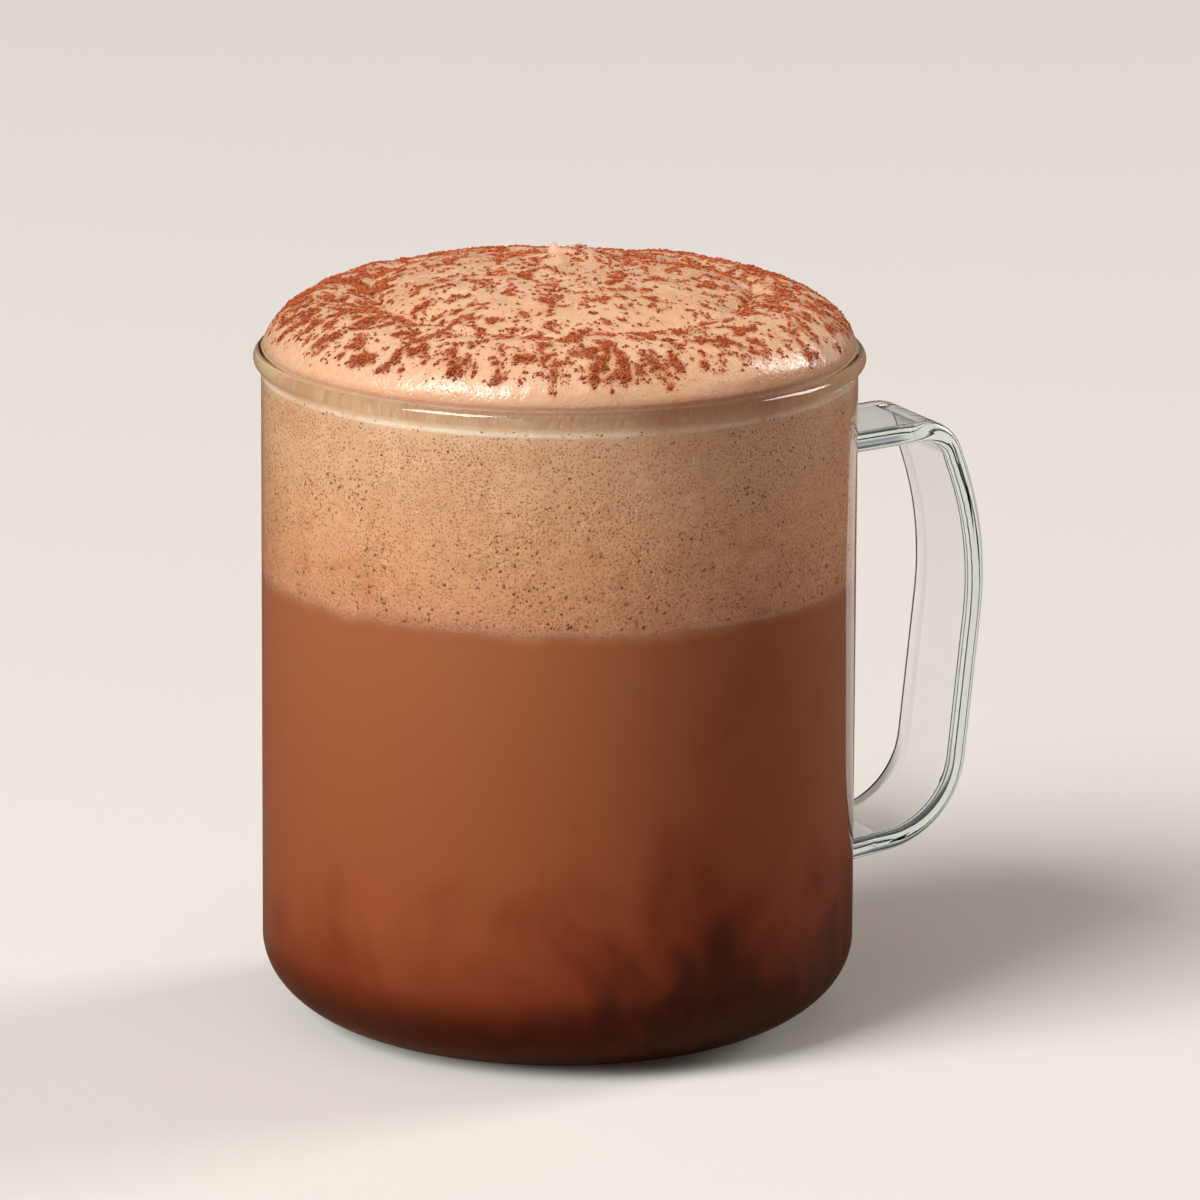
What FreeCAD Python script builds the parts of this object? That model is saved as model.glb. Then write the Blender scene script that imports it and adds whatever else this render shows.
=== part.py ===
import FreeCAD, Part

import math
import os

# Hot chocolate in a straight glass mug: the glass with its strap handle, the drink,
# and the milk foam that stands above the rim. Millimetres, +Z up. The origin is on the
# mug's axis at the level it stands on, and the handle points along +X.

# Glass body
mug_radius = 43.0            # outside of the straight wall
mug_height = 99.1            # top of the lip
wall = 1.8                   # straight wall
glass_floor = 3.0            # glass under the drink
corner_run = 17.5            # outside lower corner, measured inwards
corner_rise = 12.5           # outside lower corner, measured upwards
inner_corner_run = 16.5
inner_corner_rise = 10.8
foot_width = 4.5             # flat ring that touches the table
punt_depth = 0.8             # hollow inside that ring
punt_slope = 2.5             # how far its edge slopes inwards

# Lip: a rounded bead that leans out over the wall
bead_radius = 1.17
bead_overhang = 1.12         # how far it stands out from the wall
neck_radius = 1.0            # hollow between wall and bead
flare_radius = 6.0           # inside, where the wall widens towards the bead

# Handle: one flat strap, bent in a plane through the mug's axis
strap_width = 17.5
strap_thickness = 3.0
strap_edge_radius = 1.3
handle_root_drop = 16.9      # strap's middle at the wall, below the lip
handle_root_rise = 20.7      # strap's middle at the wall, above the table
handle_top_corner = (15.8, 15.9)      # upper bend: (out from the wall, below the lip)
handle_back_corner = (21.8, 33.0)     # gentle bend of the back: (out from the wall, below the lip)
handle_low_corner = (17.1, 23.2)      # lower bend: (out from the wall, above the table)
top_bend_radius = 5.0
back_bend_radius = 49.0
low_bend_radius = 13.5

# Drink and foam
drink_level = 66.45
foam_overhang = 0.35         # how far the foam stands short of the wall's outside
foam_seat = 0.75             # where the foam leaves the lip, inwards of the bead's middle
foam_step = 0.8              # height of the hollow between lip and dome
shoulder_rise = 8.0          # dome's crest above the lip
shoulder_run = 12.6          # crest inwards from the dome's widest ring
valley_run = 5.5             # the crest slopes down this far inwards
valley_drop = 2.2
mound_radius = 27.4          # inner mound that sits in the valley
mound_rise = 3.9             # its top above the dome's crest
mound_edge = 1.6             # rounding of its rim
mound_shift = (-0.7, -0.5)
peak_radius = 5.2            # curled peak left by the spoon
peak_sink = 1.4              # how far its foot reaches into the mound
peak_rise = 2.0
peak_tip_radius = 0.7
peak_roundness = 1.5         # above 1 the flanks bulge
peak_lean = 1.6
peak_turn = 200.0            # degrees that the curl turns as it rises
peak_place = (5.0, 6.5)

inner_radius = mug_radius - wall
foot_radius = mug_radius - corner_run
bead_r = mug_radius + bead_overhang - bead_radius
bead_z = mug_height - bead_radius
foam_radius = mug_radius - foam_overhang


def at(r, z):
    """A point of an outline: distance from the mug's axis, and height."""
    return FreeCAD.Vector(r, 0, z)


def line(a, b):
    return Part.makeLine(at(*a), at(*b))


def arc(centre, radius, start, end):
    """A circular arc of an outline between two angles in degrees."""
    points = []
    for angle in (start, (start + end) / 2, end):
        turn = math.radians(angle)
        points.append(at(centre[0] + radius * math.cos(turn), centre[1] + radius * math.sin(turn)))
    return Part.Arc(*points).toShape()


def chain(points):
    return [line(a, b) for a, b in zip(points, points[1:])]


def smooth(points):
    """A smooth curve through points of an outline."""
    curve = Part.BSplineCurve()
    curve.interpolate(Points=[at(*p) for p in points])
    return curve.toShape()


def low_corner(outside_r, floor_z, run, rise):
    """The quarter ellipse that joins a floor to an upright wall."""
    centre = at(outside_r - run, floor_z + rise)
    side = at(outside_r, floor_z + rise)
    bottom = at(outside_r - run, floor_z)
    return Part.ArcOfEllipse(Part.Ellipse(side, bottom, centre), 0, math.pi / 2).toShape()


def revolve(edges, centre=(0, 0)):
    """Turns a closed outline about an upright axis through centre."""
    outline = Part.Face(Part.Wire(Part.__sortEdges__(edges)))
    solid = outline.revolve(FreeCAD.Vector(0, 0, 0), FreeCAD.Vector(0, 0, 1), 360)
    solid.translate(FreeCAD.Vector(centre[0], centre[1], 0))
    return solid


def neck():
    """Centre of the hollow under the bead, and the angle at which it meets the bead."""
    centre_r = mug_radius + neck_radius
    reach = neck_radius + bead_radius
    drop = math.sqrt(reach**2 - (centre_r - bead_r) ** 2)
    return (centre_r, bead_z - drop), math.degrees(math.atan2(drop, bead_r - centre_r))


def flare():
    """Centre of the inside flare, and the angle at which it meets the bead."""
    centre_r = inner_radius + flare_radius
    reach = flare_radius - bead_radius
    drop = math.sqrt(reach**2 - (centre_r - bead_r) ** 2)
    return (centre_r, bead_z - drop), math.degrees(math.atan2(drop, bead_r - centre_r))


def cavity_wall(bottom_z):
    """The inside of the glass from bottom_z up to where the flare meets the bead."""
    centre, angle = flare()
    straight = line((inner_radius, bottom_z), (inner_radius, centre[1]))
    return [straight, arc(centre, flare_radius, 180, angle)]


def glass_body():
    neck_centre, neck_angle = neck()
    _, flare_angle = flare()
    punt_radius = foot_radius - foot_width
    wall_start = corner_rise
    inner_start = glass_floor + inner_corner_rise
    edges = chain([
        (0, glass_floor),
        (0, punt_depth),
        (punt_radius - punt_slope, punt_depth),
        (punt_radius, 0),
        (foot_radius, 0),
    ])
    edges.append(low_corner(mug_radius, 0, corner_run, corner_rise))
    edges.append(line((mug_radius, wall_start), (mug_radius, neck_centre[1])))
    edges.append(arc(neck_centre, neck_radius, 180, neck_angle))
    edges.append(arc((bead_r, bead_z), bead_radius, neck_angle - 180, flare_angle))
    edges += cavity_wall(inner_start)
    edges.append(low_corner(inner_radius, glass_floor, inner_corner_run, inner_corner_rise))
    edges.append(line((inner_radius - inner_corner_run, glass_floor), (0, glass_floor)))
    return revolve(edges)


def bend(before, corner, after, radius):
    """Where a tangent bend starts, its middle and its end, each as a unit vector from its centre."""
    back = (before - corner).normalize()
    ahead = (after - corner).normalize()
    half_turn = (math.pi - back.getAngle(ahead)) / 2
    trim = radius * math.tan(half_turn)
    outwards = (back + ahead).normalize() * -1
    centre = corner - outwards * (radius / math.cos(half_turn))
    start = (corner + back * trim - centre).normalize()
    end = (corner + ahead * trim - centre).normalize()
    return centre, (start, outwards, end)


def bent_side(corners, radii, offset):
    """One side of the strap seen edge-on: straight runs joined by bends, offset outwards."""
    edges = []
    here = None
    for before, corner, after, radius in zip(corners, corners[1:], corners[2:], radii):
        centre, spokes = bend(before, corner, after, radius)
        bent = [centre + spoke * (radius + offset) for spoke in spokes]
        if here is None:
            here = before + spokes[0] * offset
            first = here
        edges.append(Part.makeLine(here, bent[0]))
        edges.append(Part.Arc(*bent).toShape())
        here = bent[2]
    last = corners[-1] + spokes[2] * offset
    edges.append(Part.makeLine(here, last))
    return edges, first, last


def bent_strap(corners, radii):
    """A flat strap along corners, as wide in Y as its width, with its long edges rounded."""
    outer, outer_first, outer_last = bent_side(corners, radii, strap_thickness / 2)
    inner, inner_first, inner_last = bent_side(corners, radii, -strap_thickness / 2)
    ends = [Part.makeLine(outer_first, inner_first), Part.makeLine(outer_last, inner_last)]
    outline = Part.Face(Part.Wire(Part.__sortEdges__(outer + inner + ends)))
    outline.translate(FreeCAD.Vector(0, -strap_width / 2, 0))
    strap = outline.extrude(FreeCAD.Vector(0, strap_width, 0))
    root = corners[0].x
    long_edges = []
    for edge in strap.Edges:
        middle = edge.CenterOfMass
        if abs(middle.y) > strap_width / 2 - 0.01 and middle.x > root + 0.01:
            long_edges.append(edge)
    return strap.makeFillet(strap_edge_radius, long_edges)


def handle():
    """The strap, with both ends inside the thickness of the glass wall."""
    outside_at_edge = math.sqrt(mug_radius**2 - (strap_width / 2) ** 2)
    root = (inner_radius + outside_at_edge) / 2
    corners = [
        at(root, mug_height - handle_root_drop),
        at(mug_radius + handle_top_corner[0], mug_height - handle_top_corner[1]),
        at(mug_radius + handle_back_corner[0], mug_height - handle_back_corner[1]),
        at(mug_radius + handle_low_corner[0], handle_low_corner[1]),
        at(root, handle_root_rise),
    ]
    return bent_strap(corners, [top_bend_radius, back_bend_radius, low_bend_radius])


def drink():
    start = glass_floor + inner_corner_rise
    edges = [low_corner(inner_radius, glass_floor, inner_corner_run, inner_corner_rise)]
    edges.append(line((inner_radius, start), (inner_radius, drink_level)))
    edges += chain([
        (inner_radius, drink_level),
        (0, drink_level),
        (0, glass_floor),
        (inner_radius - inner_corner_run, glass_floor),
    ])
    return revolve(edges)


def foam_base():
    """Foam in the glass and over the lip, up to the dome's crest and its valley."""
    _, flare_angle = flare()
    seat_angle = math.degrees(math.acos(-foam_seat / bead_radius))
    seat = (bead_r - foam_seat, bead_z + bead_radius * math.sin(math.radians(seat_angle)))
    widest = (foam_radius, mug_height + foam_step)
    crest = (foam_radius - shoulder_run, mug_height + shoulder_rise)
    valley = (crest[0] - valley_run, crest[1] - valley_drop)
    edges = cavity_wall(drink_level)
    edges.append(arc((bead_r, bead_z), bead_radius, flare_angle, seat_angle))
    edges.append(line(seat, widest))
    edges.append(smooth([
        widest,
        (widest[0] - 1.0, widest[1] + 0.2 * shoulder_rise),
        (widest[0] - 2.2, widest[1] + 0.4 * shoulder_rise),
        (widest[0] - 5.3, widest[1] + 0.58 * shoulder_rise),
        (widest[0] - 9.6, crest[1] - 0.9),
        crest,
        valley,
    ]))
    edges += chain([valley, (0, valley[1]), (0, drink_level), (inner_radius, drink_level)])
    return revolve(edges)


def foam_mound():
    """The inner mound, whose rounded rim makes the crease in the foam."""
    valley_z = mug_height + shoulder_rise - valley_drop
    top_z = mug_height + shoulder_rise + mound_rise
    rim_z = top_z - mound_rise - mound_edge
    edges = [smooth([
        (mound_radius, rim_z),
        (mound_radius - 0.5 * mound_edge, rim_z + mound_edge),
        (0.88 * mound_radius, rim_z + mound_edge + 0.25 * mound_rise),
        (0.7 * mound_radius, top_z - 0.4 * mound_rise),
        (0.44 * mound_radius, top_z - 0.15 * mound_rise),
        (0, top_z),
    ])]
    edges += chain([(0, top_z), (0, valley_z - mound_edge), (mound_radius, valley_z - mound_edge)])
    edges.append(line((mound_radius, valley_z - mound_edge), (mound_radius, rim_z)))
    return revolve(edges, mound_shift)


def foam_peak():
    """The curl left on top when the last of the foam was spooned on."""
    mound_top = mug_height + shoulder_rise + mound_rise
    base_z = mound_top - peak_sink
    tip_z = mound_top + peak_rise
    rings = []
    steps = 5
    for step in range(steps):
        share = step / (steps - 1)
        turn = math.radians(peak_turn * share)
        lean = peak_lean * share**2
        x = peak_place[0] + lean * math.cos(turn)
        y = peak_place[1] + lean * math.sin(turn)
        radius = peak_tip_radius + (peak_radius - peak_tip_radius) * (1 - share**peak_roundness)
        middle = FreeCAD.Vector(x, y, base_z + (tip_z - base_z) * share)
        rings.append(Part.Wire(Part.makeCircle(radius, middle)))
    return Part.makeLoft(rings, True)


def write(name, shape):
    box = shape.BoundBox
    print(name, "solids", len(shape.Solids), "valid", shape.isValid(), "ml", round(shape.Volume / 1000, 2))
    print(name, "x", round(box.XMin, 2), round(box.XMax, 2), "z", round(box.ZMin, 2), round(box.ZMax, 2))
    shape.exportStep(os.path.join("parts", name + ".step"))


os.makedirs("parts", exist_ok=True)
write("mug", glass_body().fuse(handle()))
write("drink", drink())
write("foam", foam_base().fuse([foam_mound(), foam_peak()]).removeSplitter())
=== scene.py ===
import math

import bmesh
import bpy
import numpy as np
from mathutils import Matrix, Vector


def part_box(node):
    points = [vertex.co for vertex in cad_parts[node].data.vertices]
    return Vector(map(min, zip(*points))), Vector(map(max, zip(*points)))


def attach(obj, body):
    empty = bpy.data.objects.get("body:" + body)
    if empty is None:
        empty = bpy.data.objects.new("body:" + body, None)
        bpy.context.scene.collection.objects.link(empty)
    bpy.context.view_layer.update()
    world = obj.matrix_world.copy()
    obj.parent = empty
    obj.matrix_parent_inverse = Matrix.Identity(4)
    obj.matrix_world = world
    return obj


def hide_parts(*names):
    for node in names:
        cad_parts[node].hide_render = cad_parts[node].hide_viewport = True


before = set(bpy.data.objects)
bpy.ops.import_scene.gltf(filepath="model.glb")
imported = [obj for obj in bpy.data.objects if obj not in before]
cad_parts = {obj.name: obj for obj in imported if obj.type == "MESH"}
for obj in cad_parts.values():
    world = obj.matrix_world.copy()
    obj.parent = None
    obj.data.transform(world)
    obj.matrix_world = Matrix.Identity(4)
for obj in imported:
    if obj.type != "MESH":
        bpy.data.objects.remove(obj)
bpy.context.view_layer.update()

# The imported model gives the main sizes. Metres, on the mug's axis, +X towards the handle.
mm = 0.001
drink_low, drink_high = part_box("drink")
foam_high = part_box("foam")[1]
mug_low, mug_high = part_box("mug")
inner_radius = drink_high.x
lip_top = mug_high.z
level = drink_high.z
glass_floor = drink_low.z
foam_radius = foam_high.x

# Details of the glass that the contents follow
into_wall = 0.3 * mm             # contents reach this far into the glass, so no air gap shows
inner_corner_run = 16.5 * mm     # the cavity's rounded lower corner
inner_corner_rise = 10.8 * mm
bead_radius = 1.17 * mm          # the lip's round bead
flare_radius = 6.0 * mm          # the curve from the wall out to the bead
bead_r = -mug_low.x - bead_radius
bead_z = lip_top - bead_radius

# Fineness and amounts
seam = 0.02 * mm                 # an extra ring this close keeps the edge crisp where drink and foam meet
hub = 0.02 * mm                  # radius of the smallest ring, in the middle of a flat end
drink_turns = 256                # segments round the drink
foam_turns = 720                 # segments round the foam
clump_count = 4600               # heaps of cocoa on the dome
grain_count = 24500              # grains of each larger kind of cocoa
dust_count = 20000               # grains of the finest cocoa
bubble_count = 6500              # bubbles open against the glass

# Camera: where it stands and how it is framed
view_turn = math.radians(-26.0)
view_rise = math.radians(13.79)
view_roll = math.radians(-0.268)
view_distance = 1.502
view_aim_height = 0.0473
view_shift_right = 6.03 * mm
view_shift_up = 13.95 * mm
lens = 310.6

# Light
light_distance = 4.0
light_aim_height = 0.05


def rgb(red, green, blue):
    """A colour given on the usual 0 to 255 scale, as Blender's linear values."""
    shares = [c / 255 for c in (red, green, blue)]
    linear = [c / 12.92 if c < 0.0405 else ((c + 0.055) / 1.055) ** 2.4 for c in shares]
    return (*linear, 1.0)


# ---------------------------------------------------------------- camera, floor and light

def seen_from(turn, rise, roll=0.0):
    """Right, up and backward directions of a camera that looks at the mug."""
    level_back = Vector((math.sin(turn), -math.cos(turn), 0))
    right = Vector((math.cos(turn), math.sin(turn), 0))
    up = Vector((0, 0, math.cos(rise))) - level_back * math.sin(rise)
    back = level_back * math.cos(rise) + Vector((0, 0, math.sin(rise)))
    rolled_right = right * math.cos(roll) - up * math.sin(roll)
    rolled_up = right * math.sin(roll) + up * math.cos(roll)
    return rolled_right, rolled_up, back


def place(thing, right, up, back, spot):
    thing.matrix_world = Matrix((
        (right.x, up.x, back.x, spot.x),
        (right.y, up.y, back.y, spot.y),
        (right.z, up.z, back.z, spot.z),
        (0, 0, 0, 1),
    ))


def make_camera():
    camera = bpy.data.objects.new("camera", bpy.data.cameras.new("camera"))
    bpy.context.scene.collection.objects.link(camera)
    right, up, back = seen_from(view_turn, view_rise, view_roll)
    aim = Vector((0, 0, view_aim_height)) + right * view_shift_right + up * view_shift_up
    place(camera, right, up, back, aim + back * view_distance)
    camera.data.lens = lens
    camera.data.clip_end = 60
    bpy.context.scene.camera = camera


def make_light(name, turn, rise, width, height, strength, colour):
    """A soft box. Its turn is measured from the camera's own, positive to the right. Its width and
    height are shares of its distance, and strength is how bright it makes a white surface."""
    lamp = bpy.data.lights.new(name, "AREA")
    lamp.shape = "RECTANGLE"
    lamp.size = width * light_distance
    lamp.size_y = height * light_distance
    lamp.energy = strength * (math.pi * light_distance) ** 2
    lamp.color = colour
    box = bpy.data.objects.new(name, lamp)
    bpy.context.scene.collection.objects.link(box)
    right, up, back = seen_from(view_turn + math.radians(turn), math.radians(rise))
    place(box, right, up, back, Vector((0, 0, light_aim_height)) + back * light_distance)


# ---------------------------------------------------------------- material helpers

class Paint:
    """One material's node tree, built by short calls that return sockets."""

    def __init__(self, name, for_world=False):
        self.owner = bpy.data.worlds.new(name) if for_world else bpy.data.materials.new(name)
        self.owner.use_nodes = True
        self.tree = self.owner.node_tree
        self.tree.nodes.clear()
        self.out = self.tree.nodes.new("ShaderNodeOutput" + ("World" if for_world else "Material"))

    def node(self, kind, inputs=None, **settings):
        made = self.tree.nodes.new("ShaderNode" + kind)
        for key, value in settings.items():
            setattr(made, key, value)
        for key, value in (inputs or {}).items():
            self.feed(made.inputs[key], value)
        return made

    def feed(self, socket, value):
        if isinstance(value, bpy.types.NodeSocket):
            self.tree.links.new(value, socket)
        else:
            socket.default_value = value

    def where(self):
        """The point on the piece, in metres in the mug's frame."""
        return self.node("TexCoord").outputs["Object"]

    def split(self, vector):
        return self.node("SeparateXYZ", {0: vector}).outputs

    def stretch(self, vector, scale):
        return self.node("Mapping", {"Vector": vector, "Scale": scale}).outputs[0]

    def do(self, operation, first, second):
        return self.node("Math", {0: first, 1: second}, operation=operation).outputs[0]

    def times(self, first, *others):
        for other in others:
            first = self.do("MULTIPLY", first, other)
        return first

    def plus(self, first, *others):
        for other in others:
            first = self.do("ADD", first, other)
        return first

    def vector_do(self, operation, first, second):
        return self.node("VectorMath", {0: first, 1: second}, operation=operation).outputs

    def noise(self, vector, size, detail=3.0, roughness=0.5, twist=0.0):
        """Soft noise from 0 to 1 with features about size metres wide."""
        inputs = {"Vector": vector, "Scale": 1 / size, "Detail": detail, "Roughness": roughness,
                  "Distortion": twist}
        return self.node("TexNoise", inputs).outputs["Fac"]

    def cells(self, vector, size, dimensions="3D"):
        """Random cells about size metres wide. Distance, from the nearest middle, is a share of size."""
        inputs = {"Vector": vector, "Scale": 1 / size}
        return self.node("TexVoronoi", inputs, voronoi_dimensions=dimensions)

    def unrolled(self):
        """The upright wall laid flat: metres round the mug, starting behind the handle, and height."""
        x, y, height = self.split(self.where())
        turn = self.do("ARCTAN2", self.times(y, -1.0), self.times(x, -1.0))
        return self.node("CombineXYZ", {0: self.times(turn, inner_radius), 1: height}).outputs[0]

    def band(self, value, start, end, low=0.0, high=1.0):
        """Turns smoothly from low to high as value goes from start to end."""
        inputs = {"Value": value, "From Min": start, "From Max": end, "To Min": low, "To Max": high}
        return self.node("MapRange", inputs, interpolation_type="SMOOTHSTEP").outputs["Result"]

    def ramp(self, value, stops):
        """A colour that changes evenly from stop to stop, each a position and its colour."""
        start, end = stops[0][0], stops[-1][0]
        inputs = {"Value": value, "From Min": start, "From Max": end}
        made = self.node("ValToRGB", {0: self.node("MapRange", inputs).outputs[0]})
        elements = made.color_ramp.elements
        for index, (position, colour) in enumerate(stops):
            share = (position - start) / (end - start)
            element = elements[index] if index < 2 else elements.new(share)
            element.position = share
            element.color = colour
        return made.outputs[0]

    def mix(self, share, first, second):
        return self.node("Mix", {0: share, 6: first, 7: second}, data_type="RGBA").outputs[2]

    def bump(self, height, strength, distance, normal=None):
        inputs = {"Height": height, "Strength": strength, "Distance": distance}
        if normal is not None:
            inputs["Normal"] = normal
        return self.node("Bump", inputs).outputs[0]

    def finish(self, shader):
        self.tree.links.new(shader, self.out.inputs["Surface"])
        return self.owner


# ---------------------------------------------------------------- materials

def glass_paint():
    """Clear glass with a faint grey-green tint that shows where it is thick."""
    paint = Paint("clear_glass")
    where = paint.where()
    waves = paint.noise(where, 14 * mm, 1.0)
    specks = paint.noise(where, 3 * mm, 2.0)
    surface = paint.node("BsdfPrincipled", {
        "Base Color": (1, 1, 1, 1),
        "Roughness": paint.band(specks, 0.3, 0.8, 0.0, 0.02),
        "IOR": 1.47,
        "Transmission Weight": 1.0,
        "Normal": paint.bump(waves, 0.12, 0.4 * mm),
    }).outputs[0]
    clear = paint.node("BsdfTransparent").outputs[0]
    path = paint.node("LightPath").outputs
    for kind in ("Is Diffuse Ray", "Is Shadow Ray"):
        surface = paint.node("MixShader", {0: path[kind], 1: surface, 2: clear}).outputs[0]
    tint = paint.node("VolumeAbsorption", {"Color": (0.70, 0.83, 0.76, 1), "Density": 32.0})  # per metre
    paint.tree.links.new(tint.outputs[0], paint.out.inputs["Volume"])
    return paint.finish(surface)


def boundary_mix(paint, where, drink_colour, foam_colour):
    """Drink below and foam above, running into each other over a few wavy millimetres."""
    height = paint.split(where)[2]
    wave = paint.band(paint.noise(where, 15 * mm, 2.0), 0.3, 0.7, -0.7 * mm, 0.7 * mm)
    ripple = paint.band(paint.noise(where, 3 * mm, 2.0), 0.3, 0.7, -0.2 * mm, 0.2 * mm)
    uneven = paint.plus(height, wave, ripple)
    return paint.mix(paint.band(uneven, level - 1.5 * mm, level + 1.9 * mm), drink_colour, foam_colour)


def drink_paint():
    """Milky hot chocolate, with darker syrup that rises in soft clouds from the bottom."""
    paint = Paint("hot_chocolate")
    where = paint.where()
    height = paint.split(where)[2]
    swirl = paint.node("TexNoise", {"Vector": where, "Scale": 1 / (25 * mm), "Detail": 1.0}).outputs["Color"]
    push = paint.vector_do("SUBTRACT", swirl, (0.5, 0.5, 0.5))[0]
    push = paint.node("VectorMath", {0: push, "Scale": 22 * mm}, operation="SCALE").outputs[0]
    bent = paint.vector_do("ADD", where, push)[0]
    milky = paint.ramp(height, [
        (4 * mm, rgb(96, 40, 22)),
        (11 * mm, rgb(126, 58, 32)),
        (22 * mm, rgb(154, 82, 50)),
        (42 * mm, rgb(160, 91, 58)),
        (64 * mm, rgb(168, 101, 67)),
    ])
    clouds = paint.noise(paint.stretch(bent, (1, 1, 0.7)), 13 * mm, 2.5, 0.45)
    wisps = paint.noise(paint.stretch(bent, (1, 1, 0.5)), 6 * mm, 2.0, 0.5)
    reach = paint.band(height, 4 * mm, 50 * mm, 0.34, -0.34)
    turn = math.radians(-22)         # the drink is darker on this side, counted from +X
    dark_side = (math.cos(turn), math.sin(turn), 0.0)
    across = paint.vector_do("DOT_PRODUCT", where, dark_side)["Value"]
    aside = paint.band(across, -30 * mm, 16 * mm, -0.10, 0.11)
    syrup = paint.plus(clouds, paint.times(wisps, 0.22), reach, aside)
    thin = paint.band(syrup, 0.44, 0.92)
    thick = paint.band(syrup, 0.78, 1.12)
    colour = paint.mix(paint.times(thin, 0.75), milky, rgb(122, 48, 24))
    colour = paint.mix(thick, colour, rgb(74, 30, 19))
    streaks = paint.band(paint.noise(paint.stretch(bent, (1, 1, 0.8)), 9 * mm, 2.0), 0.52, 0.75)
    low_down = paint.band(height, 30 * mm, 6 * mm, 0.0, 0.45)
    colour = paint.mix(paint.times(streaks, low_down), colour, rgb(150, 72, 38))
    colour = boundary_mix(paint, where, colour, rgb(206, 146, 108))
    surface = paint.node("BsdfPrincipled", {
        "Base Color": colour,
        "Roughness": paint.band(clouds, 0.3, 0.7, 0.4, 0.55),
        "Specular IOR Level": 0.05,
        "Subsurface Weight": 0.15,
        "Subsurface Radius": (1.0, 0.45, 0.25),
        "Subsurface Scale": 1.5 * mm,
    }).outputs[0]
    return paint.finish(surface)


def dots(paint, size, largest, crowd):
    """Small round bubbles, one in some cells of a random pattern. crowd says how many of them show."""
    pattern = paint.cells(paint.unrolled(), size, "2D")
    own = paint.node("SeparateColor", {0: pattern.outputs["Color"]}).outputs
    radius = paint.band(own[1], 0.0, 1.0, 0.55 * largest, largest)
    inside = paint.band(paint.do("SUBTRACT", radius, pattern.outputs["Distance"]), -0.06, 0.08)
    chosen = paint.band(paint.do("SUBTRACT", crowd, own[0]), 0.0, 0.05)
    return paint.times(inside, chosen)


def foam_paint():
    """Moist milk foam: bubbles against the glass, painted darker for the shade inside them, painted light
    under the bead, and stains where cocoa lies on the dome.
    """
    paint = Paint("milk_foam")
    where = paint.where()
    height = paint.split(where)[2]
    in_glass = paint.band(height, lip_top - 3.5 * mm, lip_top - 5.5 * mm)
    low_down = paint.band(height, lip_top - 8 * mm, level + 4 * mm)

    pale = paint.ramp(height, [  # from the drink up, with a painted highlight line and painted light under the bead
        (level + 1 * mm, rgb(214, 156, 118)),
        (level + 5 * mm, rgb(224, 166, 122)),
        (level + 13 * mm, rgb(232, 182, 136)),
        (level + 24 * mm, rgb(234, 194, 156)),
        # Painted light: from here to just under the lip top the foam is painted paler, with a brighter line,
        # for light that the glass bead gathers onto it
        (lip_top - 4.0 * mm, rgb(234, 194, 156)),
        (lip_top - 3.7 * mm, rgb(255, 236, 214)),
        (lip_top - 3.3 * mm, rgb(255, 236, 214)),
        (lip_top - 3.0 * mm, rgb(255, 218, 180)),
        (lip_top - 0.4 * mm, rgb(255, 218, 180)),
        (lip_top + 0.3 * mm, rgb(222, 180, 148)),
    ])
    patches = paint.noise(where, 11 * mm, 3.0, 0.55)
    warm = paint.mix(paint.band(patches, 0.4, 0.75, 0.0, 0.6), pale, rgb(218, 168, 126))
    orange = paint.band(paint.noise(where, 7 * mm, 4.0, 0.6, 0.4), 0.5, 0.72)
    colour = paint.mix(paint.times(orange, low_down, 0.7), warm, rgb(204, 134, 86))
    curd = paint.band(paint.noise(where, 1.6 * mm, 3.0, 0.6), 0.35, 0.7, 0.0, 0.22)
    colour = paint.mix(paint.times(curd, in_glass), colour, rgb(190, 130, 88))

    crowd = paint.noise(where, 9 * mm, 2.0)
    many = paint.times(paint.band(crowd, 0.3, 0.6, 0.45, 1.05), in_glass)
    lower = paint.band(low_down, 0.0, 1.0, 0.5, 1.0)
    few = paint.times(paint.band(crowd, 0.35, 0.7, 0.1, 0.5), lower, in_glass)
    fine = dots(paint, 0.50 * mm, 0.32, many)
    mid = dots(paint, 1.0 * mm, 0.2, few)
    # Painted shade: the bubble dots are coloured darker than the foam, for the shade inside each bubble
    colour = paint.mix(paint.times(fine, 0.8), colour, rgb(176, 112, 70))
    colour = paint.mix(paint.times(mid, 0.75), colour, rgb(158, 92, 52))

    stain = paint.node("Attribute", attribute_name="cocoa").outputs["Fac"]
    grain = paint.noise(where, 0.35 * mm, 3.0, 0.7)
    powder = paint.plus(stain, paint.times(grain, 0.8))
    colour = paint.mix(paint.band(powder, 0.55, 0.95, 0.0, 0.65), colour, rgb(202, 130, 86))
    colour = paint.mix(paint.band(powder, 0.85, 1.35, 0.0, 0.85), colour, rgb(140, 66, 38))
    colour = boundary_mix(paint, where, rgb(168, 101, 67), colour)

    rough = paint.band(paint.noise(where, 1.2 * mm, 3.0), 0.3, 0.75, 0.22, 0.5)
    pores = paint.band(paint.cells(where, 0.7 * mm).outputs["Distance"], 0.0, 0.45)
    lumps = paint.noise(where, 2.5 * mm, 3.0, 0.6)
    normal = paint.bump(lumps, 0.35, 0.5 * mm)
    normal = paint.bump(pores, 0.35, 0.12 * mm, normal)
    shine = paint.bump(paint.noise(where, 0.5 * mm, 2.0, 0.6), 0.5, 0.12 * mm, normal)
    surface = paint.node("BsdfPrincipled", {
        "Base Color": colour,
        "Roughness": rough,
        "Specular IOR Level": 0.5,
        "Coat Weight": 0.4,
        "Coat Roughness": 0.16,
        "Coat Normal": shine,
        "Subsurface Weight": 0.6,
        "Subsurface Radius": (1.0, 0.5, 0.25),
        "Subsurface Scale": 2.0 * mm,
        "Normal": normal,
    }).outputs[0]
    return paint.finish(surface)


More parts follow.
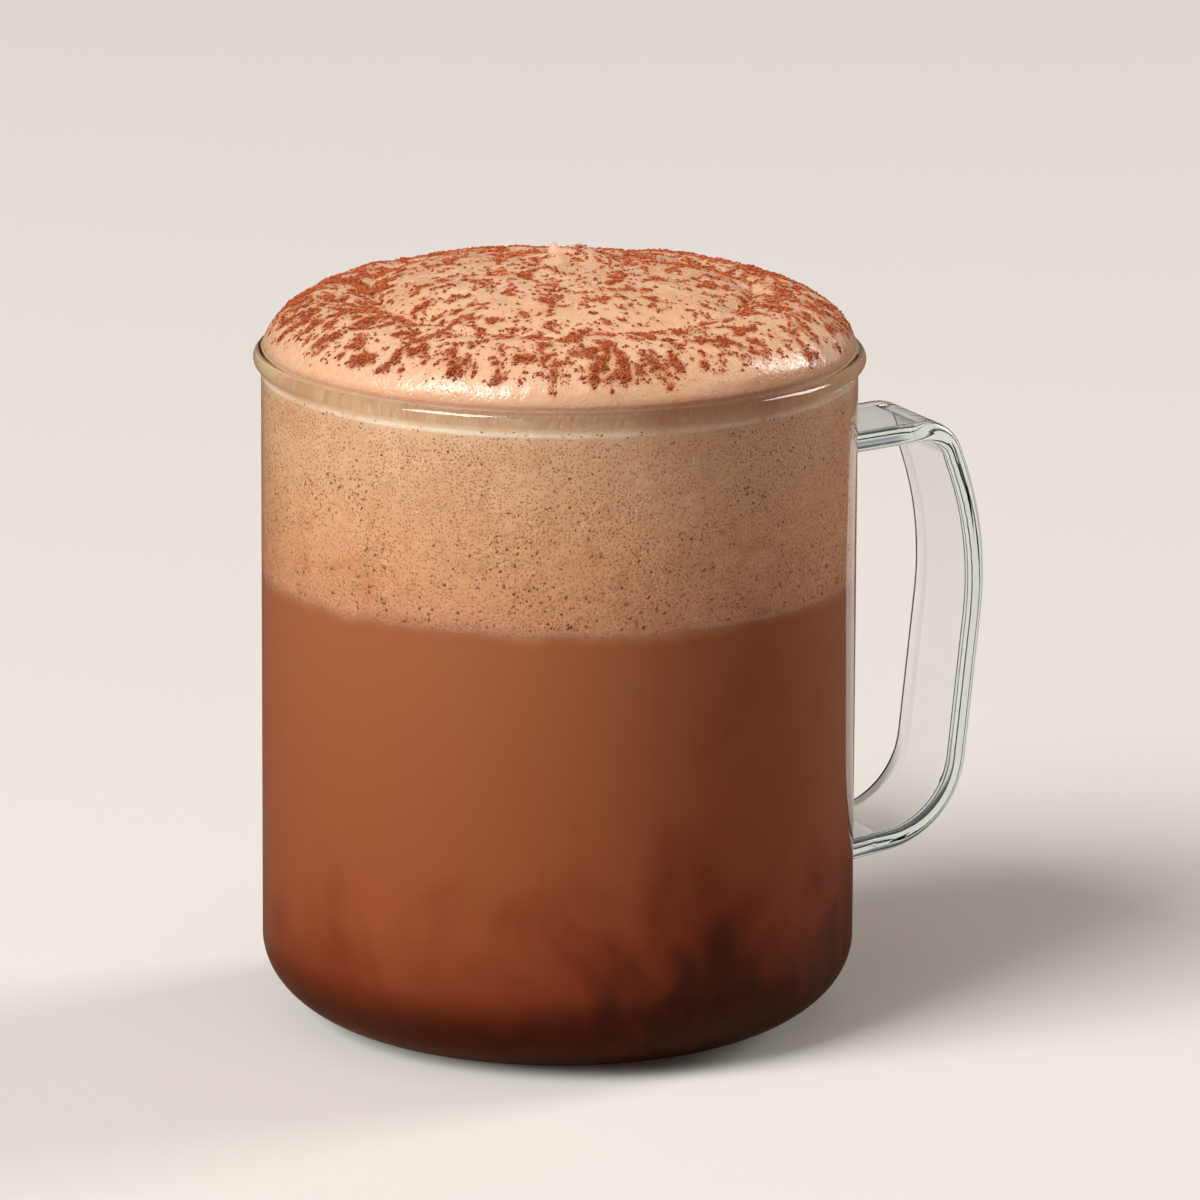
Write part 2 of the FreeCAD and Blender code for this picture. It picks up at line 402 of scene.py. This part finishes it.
def powder_paint(name, dark, middle, light):
    """Dry cocoa. Each grain has its own shade, and some parts of the dome are lighter."""
    paint = Paint(name)
    where = paint.where()
    own = paint.node("NewGeometry").outputs["Random Per Island"]
    damp = paint.noise(where, 5 * mm, 2.0)
    shade = paint.plus(paint.times(own, 0.65), paint.times(damp, 0.5))
    colour = paint.mix(paint.band(shade, 0.25, 0.55), dark, middle)
    colour = paint.mix(paint.band(shade, 0.6, 0.95), colour, light)
    speckle = paint.noise(where, 0.15 * mm, 2.0, 0.7)
    surface = paint.node("BsdfPrincipled", {
        "Base Color": paint.mix(paint.band(speckle, 0.4, 0.7, 0.0, 0.35), colour, light),
        "Roughness": paint.band(damp, 0.3, 0.7, 0.65, 0.95),
        "Specular IOR Level": 0.25,
        "Normal": paint.bump(speckle, 0.5, 0.1 * mm),
    }).outputs[0]
    return paint.finish(surface)


def pore_paint():
    """The shaded inside of a bubble that has opened against the glass."""
    paint = Paint("open_bubble")
    where = paint.where()
    own = paint.node("NewGeometry").outputs["Random Per Island"]
    colour = paint.mix(own, rgb(156, 98, 62), rgb(190, 134, 94))
    colour = paint.mix(paint.noise(where, 6 * mm, 2.0), colour, rgb(160, 102, 66))
    surface = paint.node("BsdfPrincipled", {
        "Base Color": colour,
        "Roughness": paint.band(paint.noise(where, 0.5 * mm, 2.0), 0.3, 0.7, 0.5, 0.7),
        "Specular IOR Level": 0.1,
    }).outputs[0]
    return paint.finish(surface)


def floor_paint():
    """Pale where it is seen, but dim and warm in the light that it throws back on the mug."""
    paint = Paint("pale_floor")
    cloud = paint.noise(paint.where(), 0.5, 2.0)
    pale = paint.mix(cloud, (0.67, 0.662, 0.65, 1), (0.65, 0.642, 0.63, 1))
    path = paint.node("LightPath").outputs
    seen = paint.do("MAXIMUM", path["Is Camera Ray"], path["Is Transmission Ray"])
    surface = paint.node("BsdfPrincipled", {
        "Base Color": paint.mix(seen, (0.15, 0.08, 0.055, 1), pale),
        "Roughness": 0.8,
        "Specular IOR Level": 0.2,
    }).outputs[0]
    return paint.finish(surface)


def studio_paint():
    """Pale behind the mug where it is seen, and darker higher up. The light it throws is dim."""
    paint = Paint("studio", for_world=True)
    height = paint.split(paint.node("TexCoord").outputs["Generated"])[2]
    seen = paint.mix(paint.band(height, 0.06, 0.4), (0.74, 0.73, 0.72, 1), (0.12, 0.125, 0.13, 1))
    glow = paint.mix(paint.band(height, 0.0, 0.5), (0.13, 0.075, 0.055, 1), (0.09, 0.06, 0.05, 1))
    path = paint.node("LightPath").outputs
    share = paint.do("MAXIMUM", path["Is Camera Ray"], path["Is Transmission Ray"])
    return paint.finish(paint.node("Background", {"Color": paint.mix(share, glow, seen)}).outputs[0])


# ---------------------------------------------------------------- shapes

def add_piece(name, points, faces, material):
    mesh = bpy.data.meshes.new(name)
    mesh.from_pydata(points, [], faces)
    mesh.polygons.foreach_set("use_smooth", [True] * len(mesh.polygons))
    mesh.materials.append(material)
    mesh.update()
    piece = bpy.data.objects.new(name, mesh)
    bpy.context.scene.collection.objects.link(piece)
    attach(piece, "root")
    return piece


def ring_faces(rings, steps):
    """Quads between rings of steps points each."""
    row, column = np.meshgrid(np.arange(rings - 1), np.arange(steps), indexing="ij")
    following = (column + 1) % steps
    near, far = row * steps, (row + 1) * steps
    quads = np.stack([near + column, near + following, far + following, far + column], -1)
    return quads.reshape(-1, 4).tolist()


def turned(outline, angles):
    """Points of an outline, each a radius and a height, turned round the mug's axis."""
    outline = np.array(outline)
    return np.stack([
        np.outer(outline[:, 0], np.cos(angles)),
        np.outer(outline[:, 0], np.sin(angles)),
        np.repeat(outline[:, 1:], len(angles), 1),
    ], -1).reshape(-1, 3)


def sweep(centre_r, centre_z, radius, start, end, steps):
    """Points of a circular arc of an outline, between two angles in degrees."""
    angles = np.radians(np.linspace(start, end, steps))
    return [(centre_r + radius * math.cos(a), centre_z + radius * math.sin(a)) for a in angles]


def drink_outline():
    """From the middle of the glass floor, round the lower corner and up to the level."""
    side = inner_radius + into_wall
    bottom = glass_floor - into_wall
    corner_r = inner_radius - inner_corner_run
    corner_z = glass_floor + inner_corner_rise
    outline = [(hub, bottom), (corner_r / 2, bottom)]
    for angle in np.radians(np.linspace(-90, 0, 40)):
        outline.append((corner_r + (side - corner_r) * math.cos(angle),
                        corner_z + (corner_z - bottom) * math.sin(angle)))
    outline += [(side, z) for z in np.linspace(corner_z, level - seam, 24)[1:]]
    outline += [(side, level), (side - seam, level), (side / 2, level), (hub, level)]
    return outline


def make_drink():
    outline = drink_outline()
    rings = len(outline)
    points = turned(outline, np.linspace(0, 2 * math.pi, drink_turns, endpoint=False))
    faces = ring_faces(rings, drink_turns)
    faces.append(list(range(drink_turns))[::-1])
    faces.append(list(range((rings - 1) * drink_turns, rings * drink_turns)))
    piece = add_piece("drink_body", points.tolist(), faces, drink_paint())
    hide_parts("drink")


# The foam's dome. Plan positions here are as the camera sees them: u to its right, v away from it.

dome_top = 111.0 * mm            # top of the round mound in the middle
crest_z = 107.1 * mm             # top of the shoulder that rings it
crest_r = 30.0 * mm
crease_r = 27.6 * mm             # the crease between the two
widest_z = 99.9 * mm             # where the dome is widest, just above the lip
head_room = 0.15 * mm            # how far the looks stay below the CAD model's top
mound_rise = 1.0 * mm            # the mound starts this far below the crest
crease_depth = 0.35 * mm
crease_width = 0.5 * mm
shoulder_slope = 0.18            # how steeply the shoulder falls inwards from its crest
shoulder_bulge, shoulder_drop = 2.1, 0.62
mound_bulge = 0.61

# Uneven relief all over the dome: height, size and seed of each layer
rumples = [(0.32 * mm, 8 * mm, 11), (0.16 * mm, 3.4 * mm, 12), (0.07 * mm, 1.3 * mm, 13)]


def soft_noise(u, v, size, seed):
    """Smooth random relief between -1 and 1, with features about size wide."""
    cells = 128
    grid = np.random.default_rng(seed).uniform(-1, 1, (cells, cells))
    a, b = u / size, v / size
    i, j = np.floor(a).astype(int), np.floor(b).astype(int)
    s, t = a - i, b - j
    s, t = s * s * (3 - 2 * s), t * t * (3 - 2 * t)
    low = grid[i % cells, j % cells] * (1 - s) + grid[(i + 1) % cells, j % cells] * s
    high = grid[i % cells, (j + 1) % cells] * (1 - s) + grid[(i + 1) % cells, (j + 1) % cells] * s
    return low * (1 - t) + high * t


def ease(value, start, end):
    """0 at start, 1 at end, smooth in between."""
    t = np.clip((value - start) / (end - start), 0, 1)
    return t * t * (3 - 2 * t)


def hill(u, v, place_u, place_v, width):
    return np.exp(-((u - place_u) ** 2 + (v - place_v) ** 2) / (2 * width**2))


def to_plan(turn_round, radius):
    """Plan position in the camera's directions of a point given in the mug's frame."""
    angle = turn_round - view_turn
    return radius * np.cos(angle), radius * np.sin(angle)


def crease_radius(u, v):
    """The crease wanders, with a kink at the front left."""
    angle = np.degrees(np.arctan2(v, u))
    wander = 0.9 * mm * np.sin(np.radians(3 * angle + 40)) + 0.5 * mm * np.sin(np.radians(7 * angle))
    kink = 3.2 * mm * np.exp(-((angle + 115) / 7) ** 2) - 1.9 * mm * np.exp(-((angle + 139) / 9) ** 2)
    left = 2.2 * mm * np.exp(-((angle - 150) / 14) ** 2)
    return crease_r + wander + kink + left


def dome_height(u, v):
    """Height of the foam's top over a plan point."""
    r = np.hypot(u, v)
    shoulder_q = np.clip((r - crest_r) / (foam_radius - crest_r), 0, 1)
    fall = (1 - shoulder_q**shoulder_bulge) ** shoulder_drop
    outer = widest_z + (crest_z - widest_z) * fall
    outer = np.where(r < crest_r, crest_z - shoulder_slope * (crest_r - r), outer)
    q = np.clip(r / crease_radius(u, v), 0, 1)
    mound = crest_z - mound_rise + (dome_top - crest_z + mound_rise) * (1 - q**2) ** mound_bulge
    z = np.where(q < 1, np.maximum(outer, mound), outer)
    blend = np.clip((mound - outer) / crease_width, -1, 1)
    z = z - np.where(q < 1, crease_depth * np.exp(-(blend * 1.6) ** 2), 0) * 0.8

    # The crease closes behind the mound, and has a dimple at its right end.
    angle = np.degrees(np.arctan2(v, u))
    behind = ease(angle, 22, 45) * (1 - ease(angle, 125, 150))
    z = z + behind * 0.9 * mm * np.exp(-((r - crease_r) / (3.2 * mm)) ** 2)
    z = z - 0.9 * mm * hill(u, v, 26.6 * mm, 3.4 * mm, 1.3 * mm)

    # A lump with a small tip near the top, a lower lump behind it, and a curl round the front.
    z = z + 1.9 * mm * hill(u, v, 2.4 * mm, 8.0 * mm, 2.5 * mm)
    z = z + 1.5 * mm * hill(u, v, -1.0 * mm, 8.6 * mm, 0.55 * mm)
    z = z + 0.7 * mm * hill(u, v, 14.5 * mm, 17 * mm, 2.2 * mm)
    curl = np.abs(np.hypot(u + 6.0 * mm, v - 1.5 * mm) - 6.2 * mm)
    curl_part = ease(u, -7 * mm, -3 * mm) * (1 - ease(v, 5 * mm, 9 * mm))
    z = z + 0.55 * mm * np.exp(-(curl / (1.1 * mm)) ** 2) * curl_part
    return z


def dome_point(along, turn_round):
    """Points of the foam's surface. along goes from 0 in the middle to 1 at the widest ring."""
    r = foam_radius * along
    u, v = to_plan(turn_round, r)
    z = dome_height(u, v)
    calm = 1 - ease(along, 0.985, 1.0)
    for height, size, seed in rumples:
        z = z + calm * height * soft_noise(u, v, size, seed)
    z = np.minimum(z, foam_high.z - head_room)
    return np.stack([r * np.cos(turn_round), r * np.sin(turn_round), z], -1)


def foam_wall_outline():
    """From the dome's widest ring down over the lip, and down the glass to the drink."""
    reach = flare_radius - bead_radius
    flare_r = inner_radius + flare_radius
    drop = math.sqrt(reach**2 - (flare_r - bead_r) ** 2)
    flare_angle = math.degrees(math.atan2(drop, bead_r - flare_r))
    seat_angle = 130.0               # where the foam meets the bead, round from straight out
    side = inner_radius + into_wall
    outline = [(foam_radius - 0.08 * mm, widest_z - 0.45 * mm), (foam_radius - 0.3 * mm, lip_top - 0.1 * mm)]
    outline += sweep(bead_r, bead_z, bead_radius - into_wall, seat_angle, flare_angle, 8)
    outline += sweep(flare_r, bead_z - drop, flare_radius - into_wall, flare_angle, 180, 8)[1:]
    outline += [(side, z) for z in np.linspace(bead_z - drop, level + seam, 30)[1:]]
    outline += [(side, level), (side - seam, level), (hub, level)]
    return outline


def ring_places():
    """Where the dome's rings lie, closer together where the surface is steep."""
    inner = np.linspace(0.0005, 0.94, 112)
    outer = 1 - 0.06 * np.linspace(1, 0, 26)[1:] ** 1.7
    return np.concatenate([inner, outer])


def cocoa_field(points, grains, sizes):
    """How much cocoa lies near each point of the foam, by adding up the grains on a fine grid."""
    cell = 0.3 * mm
    half = int(foam_radius / cell) + 4
    field = np.zeros((2 * half, 2 * half))
    i = np.floor(grains[:, 0] / cell).astype(int) + half
    j = np.floor(grains[:, 1] / cell).astype(int) + half
    np.add.at(field, (i, j), (sizes / cell) ** 2)
    for _ in range(3):
        field = (field + np.roll(field, 1, 0) + np.roll(field, -1, 0)) / 3
        field = (field + np.roll(field, 1, 1) + np.roll(field, -1, 1)) / 3
    a = np.clip(np.floor(points[:, 0] / cell).astype(int) + half, 0, 2 * half - 1)
    b = np.clip(np.floor(points[:, 1] / cell).astype(int) + half, 0, 2 * half - 1)
    return np.clip(field[a, b] * 1.5, 0, 1)


def make_foam(grains, sizes):
    angles = np.linspace(0, 2 * math.pi, foam_turns, endpoint=False)
    places = ring_places()
    around, along = np.meshgrid(angles, places)
    dome = dome_point(along, around).reshape(-1, 3)
    outline = foam_wall_outline()
    points = np.concatenate([dome, turned(outline, angles)])
    rings = len(places) + len(outline)
    faces = [face[::-1] for face in ring_faces(rings, foam_turns)]
    faces.append(list(range(foam_turns)))
    faces.append(list(range((rings - 1) * foam_turns, rings * foam_turns))[::-1])
    piece = add_piece("foam_body", points.tolist(), faces, foam_paint())
    stain = cocoa_field(points, grains, sizes)
    stain[len(dome):] = 0
    attribute = piece.data.attributes.new("cocoa", "FLOAT", "POINT")
    attribute.data.foreach_set("value", stain.astype(np.float32))
    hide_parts("foam")


# ---------------------------------------------------------------- scattered pieces

class Slope:
    """The dome's run from its middle outwards, measured along its surface."""

    def __init__(self):
        self.along = np.linspace(0, 1, 400)
        profile = dome_point(self.along, np.full(400, view_turn))
        step = np.hypot(np.diff(profile[:, 2]), np.diff(self.along * foam_radius))
        self.run = np.concatenate([[0], np.cumsum(step)])
        self.area = np.concatenate([[0], np.cumsum(step * (self.along[1:] + self.along[:-1]))])

    def places(self, random, count):
        """Random places spread evenly over the dome: distance from its middle, and direction."""
        r = foam_radius * np.interp(random.uniform(0, self.area[-1], count), self.area, self.along)
        return r, random.uniform(0, 2 * math.pi, count)

    def shifted(self, r, around, down, sideways):
        """The places moved down the slope and sideways, by distances along the surface."""
        start = np.interp(r / foam_radius, self.along, self.run)
        run = start + down
        r_moved = np.sign(run) * foam_radius * np.interp(np.abs(run), self.run, self.along)
        x = r_moved * np.cos(around) - sideways * np.sin(around)
        y = r_moved * np.sin(around) + sideways * np.cos(around)
        return np.minimum(np.hypot(x, y) / foam_radius, 0.999), np.arctan2(y, x)


def cocoa_likely(r, around):
    """How likely a clump is at a place: patchy, thicker on the shoulder, and none near the lip."""
    u, v = to_plan(around, r)
    along = r / foam_radius
    patchy = 0.8 + 0.25 * soft_noise(u, v, 7 * mm, 25) + 0.3 * soft_noise(u, v, 3 * mm, 26)
    tip = hill(u, v, -1.0 * mm, 8.4 * mm, 1.3 * mm)
    lump = hill(u, v, 14.5 * mm, 17.0 * mm, 1.8 * mm)
    bare = np.clip(1 - (tip + 0.7 * lump), 0, 1)
    thick = 0.5 + 0.5 * ease(along, 0.5, 0.78)
    return np.clip(patchy, 0.1, 1) * thick * ease(along, 0.992, 0.93) * bare


def cocoa_clumps(random, slope, count):
    """Uneven clumps, each of a few lobes. On the slope they are drawn out downwards."""
    r, around = slope.places(random, 5 * count)
    kept = np.flatnonzero(random.uniform(size=len(r)) < cocoa_likely(r, around))[:count]
    r, around = r[kept], around[kept]
    size = (0.2 + 0.8 * random.uniform(size=len(kept)) ** 3.0) * mm
    steep = ease(r / foam_radius, 0.72, 0.95)
    drawn = 1 + steep * random.uniform(0.0, 1.0, len(kept))
    lobes, apart = 4, 0.55
    r, around, size, drawn = (np.repeat(a, lobes) for a in (r, around, size, drawn))
    down = random.normal(size=len(r)) * size * apart * drawn
    sideways = random.normal(size=len(r)) * size * apart
    along, around = slope.shifted(r, around, down, sideways)
    return along * foam_radius, around, size * random.uniform(0.3, 0.75, len(r)), drawn


def blob():
    """Unit ball of 20 triangles."""
    ball = bmesh.new()
    bmesh.ops.create_icosphere(ball, subdivisions=1, radius=1)
    points = np.array([v.co[:] for v in ball.verts])
    faces = np.array([[v.index for v in f.verts] for f in ball.faces])
    ball.free()
    return points, faces


def octahedron():
    """Unit octahedron, the simplest grain."""
    points = np.array([(1, 0, 0), (-1, 0, 0), (0, 1, 0), (0, -1, 0), (0, 0, 1), (0, 0, -1)], float)
    faces = np.array([(0, 2, 4), (2, 1, 4), (1, 3, 4), (3, 0, 4),
                      (2, 0, 5), (1, 2, 5), (3, 1, 5), (0, 3, 5)])
    return points, faces


def scatter(name, shape, random, spots, normals, sizes, thickness, material):
    """Joins a copy of shape at each spot, flattened along the normal, turned and dented at random."""
    points, faces = shape
    count = len(spots)
    side = np.cross(normals, random.normal(size=(count, 3)))
    side /= np.linalg.norm(side, axis=1)[:, None]
    other = np.cross(normals, side)
    bent = points[None] * random.uniform(0.72, 1.28, (count, len(points), 1))
    bent = bent * (sizes[:, None, None] * random.uniform(0.75, 1.3, (count, 1, 3)))
    placed = (bent[..., :1] * side[:, None] + bent[..., 1:2] * other[:, None]
              + bent[..., 2:] * normals[:, None] * thickness + spots[:, None])
    linked = faces[None] + (np.arange(count) * len(points))[:, None, None]
    return add_piece(name, placed.reshape(-1, 3).tolist(), linked.reshape(-1, 3).tolist(), material)


def surface_at(along, around):
    """Points of the dome and their normals."""
    step = 0.003
    here = dome_point(along, around)
    out = dome_point(np.clip(along + step, 0, 1), around) - dome_point(np.clip(along - step, 0, 1), around)
    turn = step / np.maximum(along, 0.02)
    across = dome_point(along, around + turn) - dome_point(along, around - turn)
    normal = np.cross(out, across)
    return here, normal / np.linalg.norm(normal, axis=1)[:, None]


def cocoa_grains(random, slope, clumps, count, smallest, largest, spread, strays):
    """Grains heaped on the clumps' lobes. spread is how far they lie from a lobe's middle, as a share
    of its size, and strays is the share of grains that lie anywhere."""
    r, around, size, drawn = clumps
    chosen = random.choice(len(r), count, p=size**2 / np.sum(size**2))
    down = random.normal(size=count) * size[chosen] * spread * drawn[chosen]
    sideways = random.normal(size=count) * size[chosen] * spread
    along, turn = slope.shifted(r[chosen], around[chosen], down, sideways)
    loose = np.flatnonzero(random.uniform(size=count) < strays)
    loose_r, loose_turn = slope.places(random, len(loose))
    along[loose], turn[loose] = 0.97 * loose_r / foam_radius, loose_turn
    spots, normals = surface_at(along, turn)
    middle = np.exp(-(down**2 + sideways**2) / (2 * (0.6 * size[chosen]) ** 2))
    middle[loose] = 0
    lift = random.uniform(0, 0.22, count) * middle * mm
    grain = smallest + (largest - smallest) * random.uniform(size=count) ** 2.0
    return spots + normals * lift[:, None], normals, grain


def make_bubbles():
    """Bubbles open against the glass, as flat pieces coloured with the painted shade inside them: many
    small, fewer large, larger near the drink.
    """
    random = np.random.default_rng(7)
    tries = 3 * bubble_count
    rise = random.uniform(size=tries) ** 1.2
    height = level + 1.0 * mm + rise * (lip_top - 4 * mm - level)
    around = random.uniform(0, 2 * math.pi, tries)
    way = around * inner_radius
    crowd = soft_noise(way, height, 7 * mm, 31) + 0.5 * soft_noise(way, height, 3 * mm, 32)
    kept = np.flatnonzero(random.uniform(size=tries) < ease(crowd, -1.0, 0.8))[:bubble_count]
    height, around, rise = height[kept], around[kept], rise[kept]
    size = (0.09 + 0.24 * random.uniform(size=len(kept)) ** 4 * (1 - 0.5 * rise)) * mm
    normals = np.stack([np.cos(around), np.sin(around), 0 * around], -1)
    spots = normals * (inner_radius + into_wall) + np.stack([0 * around, 0 * around, height], -1)
    scatter("foam_bubbles", blob(), random, spots, normals, size, 0.3, pore_paint())


def make_topping():
    """The cocoa, and the foam under it, which is stained where the cocoa lies."""
    random = np.random.default_rng(3)
    slope = Slope()
    clumps = cocoa_clumps(random, slope, clump_count)
    kinds = [  # name, (count, smallest, largest, spread, strays), thickness, paint
        ("cocoa_clumps", (grain_count, 0.12 * mm, 0.29 * mm, 0.42, 0.0), 0.6,
         powder_paint("cocoa_clump", rgb(132, 48, 22), rgb(178, 80, 40), rgb(204, 112, 66))),
        ("cocoa_crumbs", (grain_count, 0.07 * mm, 0.18 * mm, 0.75, 0.015), 0.6,
         powder_paint("cocoa_crumb", rgb(160, 78, 44), rgb(192, 108, 66), rgb(214, 142, 96))),
        ("cocoa_dust", (dust_count, 0.03 * mm, 0.08 * mm, 1.5, 0.08), 0.8,
         powder_paint("cocoa_dust", rgb(168, 92, 56), rgb(200, 122, 80), rgb(218, 152, 108))),
    ]
    all_spots, all_sizes = [], []
    for name, amounts, thickness, paint in kinds:
        spots, normals, sizes = cocoa_grains(random, slope, clumps, *amounts)
        scatter(name, octahedron(), random, spots, normals, sizes, thickness, paint)
        all_spots.append(spots)
        all_sizes.append(sizes)
    make_foam(np.concatenate(all_spots), np.concatenate(all_sizes))


# ---------------------------------------------------------------- the scene

make_camera()
bpy.context.scene.world = studio_paint()
make_light("key", -50, 45, 0.5, 0.5, 1.34, (1.0, 0.97, 0.93))
make_light("top", 0, 78, 0.6, 0.5, 0.13, (1.0, 0.98, 0.95))
make_light("front", -22, 20, 0.3, 0.45, 0.05, (1.0, 0.97, 0.94))
make_light("rim", 118, 32, 0.3, 0.5, 0.50, (1.0, 0.94, 0.88))
bpy.context.scene.view_settings.view_transform = "Standard"

floor_mesh = bpy.data.meshes.new("floor")
floor_reach = 1.4                # past this, outside the main view, the pale background takes over
floor_corners = [(x * floor_reach, y * floor_reach, 0) for x, y in ((-1, -1), (1, -1), (1, 1), (-1, 1))]
floor_mesh.from_pydata(floor_corners, [], [(0, 1, 2, 3)])
floor_mesh.materials.append(floor_paint())
floor = bpy.data.objects.new("floor", floor_mesh)
bpy.context.scene.collection.objects.link(floor)

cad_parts["mug"].material_slots[0].material = glass_paint()
make_drink()
make_topping()
make_bubbles()
